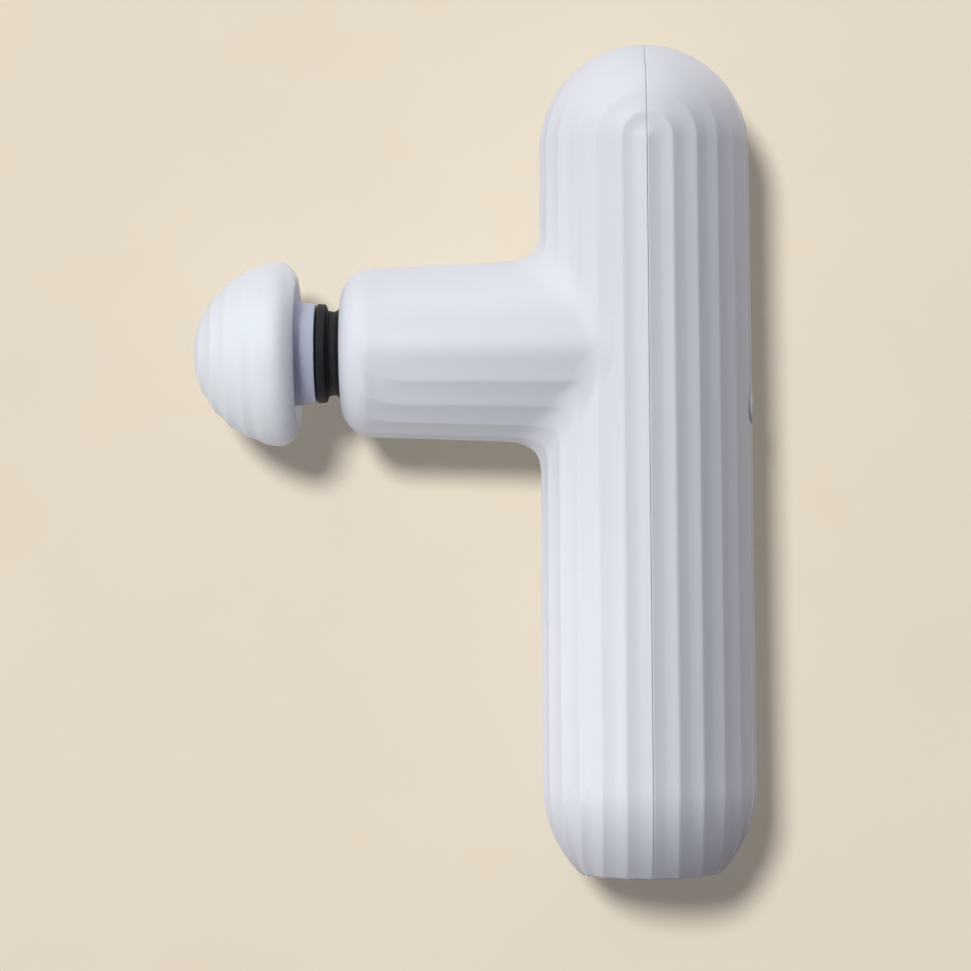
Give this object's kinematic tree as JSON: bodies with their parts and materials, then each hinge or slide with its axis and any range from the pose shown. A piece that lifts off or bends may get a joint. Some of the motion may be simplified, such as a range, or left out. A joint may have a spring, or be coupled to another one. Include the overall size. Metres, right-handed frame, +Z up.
{
  "type": "massage gun",
  "caption": "Pocket massage gun with a fluted round handle, a short side neck and a mushroom head on a reciprocating shaft with a rubber boot.",
  "frame": {"origin": "centre of the flat bottom face of the handle, on the handle axis", "axes": "+Z up the handle axis to the domed top; -X along the neck towards the massage head; +Y to the side, square to both, across the seam halves"},
  "size_m": [0.1008, 0.0384, 0.15],
  "materials": {
    "body_plastic": "fine matte moulded plastic, pale cool grey",
    "head_soft": "soft matte silicone, pale blue white",
    "hub_plastic": "satin moulded plastic, pale lavender grey",
    "black_rubber": "matte black rubber",
    "black_plastic": "fine grained moulded plastic",
    "dark_plastic": "glass-filled nylon, slight sheen",
    "white_plastic": "acetal, smooth",
    "steel": "zinc plated, fine brushed",
    "bearing_steel": "ground and polished",
    "stator_steel": "laminated silicon steel, varnished",
    "aluminium": "turned",
    "brass": "turned",
    "bronze": "sintered, oil filled",
    "copper": "enamelled copper wire",
    "nickel": "nickel strip",
    "magnet": "epoxy coated",
    "board": "solder mask",
    "cell_wrap": "heat-shrink film",
    "ribbon": "flat flexible cable",
    "foam": "closed-cell foam",
    "lens": "frosted clear",
    "lead_red": "silicone insulation",
    "lead_black": "silicone insulation",
    "lead_yellow": "silicone insulation",
    "lead_blue": "silicone insulation",
    "lead_green": "silicone insulation"
  },
  "bodies": {
    "housing": {"front_shell": "body_plastic", "rear_shell": "body_plastic", "bottom_cap": "body_plastic", "bottom_cap_screw_1": "steel", "bottom_cap_screw_2": "steel", "base_frame": "black_plastic", "charge_board": "board", "usb_socket": "steel", "charge_ribbon": "ribbon", "battery_carrier": "black_plastic", "battery_cell_1": "cell_wrap", "battery_cell_2": "cell_wrap", "battery_bridge": "nickel", "battery_tab_positive": "nickel", "battery_tab_negative": "nickel", "battery_lead_red": "lead_red", "battery_lead_black": "lead_black", "battery_foam_pad": "foam", "main_board": "board", "board_screw_1": "steel", "board_screw_2": "steel", "tact_switch": "black_plastic", "indicator_lens": "lens", "motor_bracket": "steel", "motor_screw_1": "steel", "motor_screw_2": "steel", "motor_screw_3": "steel", "motor_end_plate": "steel", "motor_can": "steel", "motor_damper": "black_rubber", "stator_core": "stator_steel", "stator_windings": "copper", "motor_bearing_lower": "bearing_steel", "motor_bearing_upper": "bearing_steel", "guide_housing": "aluminium", "guide_bush_rear": "bronze", "guide_bush_front": "bronze", "boot_clamp_ring": "black_plastic", "dust_boot": "black_rubber", "motor_lead_u": "lead_yellow", "motor_lead_v": "lead_blue", "motor_lead_w": "lead_green"},
    "rotor": {"rotor_magnet": "magnet", "motor_shaft": "bearing_steel", "eccentric_wheel": "aluminium", "counterweight": "brass", "crank_pin": "bearing_steel"},
    "piston": {"piston": "dark_plastic", "wrist_pin": "bearing_steel", "shaft_collar": "black_rubber"},
    "rod": {"connecting_rod": "white_plastic", "crank_bearing": "bearing_steel"},
    "head": {"head_core": "hub_plastic", "head_dome": "head_soft", "stem_oring_1": "black_rubber", "stem_oring_2": "black_rubber"},
    "button": {"button_cap": "body_plastic", "switch_plunger": "white_plastic"}
  },
  "joints": [
    {"name": "motor_spin", "type": "hinge", "parent": "housing", "child": "rotor", "pos_m": [0, 0, 0.0982], "axis": [0, 0, 1], "continuous": true},
    {"name": "shaft_stroke", "type": "slide", "parent": "housing", "child": "piston", "axis": [-1, 0, 0], "range_m": [0, 0.007], "deforming": ["dust_boot"]},
    {"name": "rod_swing", "type": "hinge", "parent": "piston", "child": "rod", "pos_m": [-0.0205, 0, 0.0946], "axis": [0, 0, 1], "range_deg": [-8.4, 8.4]},
    {"name": "head_pull_off", "type": "slide", "parent": "piston", "child": "head", "axis": [-1, 0, 0], "range_m": [0, 0.016]},
    {"name": "button_press", "type": "slide", "parent": "housing", "child": "button", "axis": [-1, 0, 0], "range_m": [0, 0.0006], "stiffness_N_per_m": 1500}
  ]
}
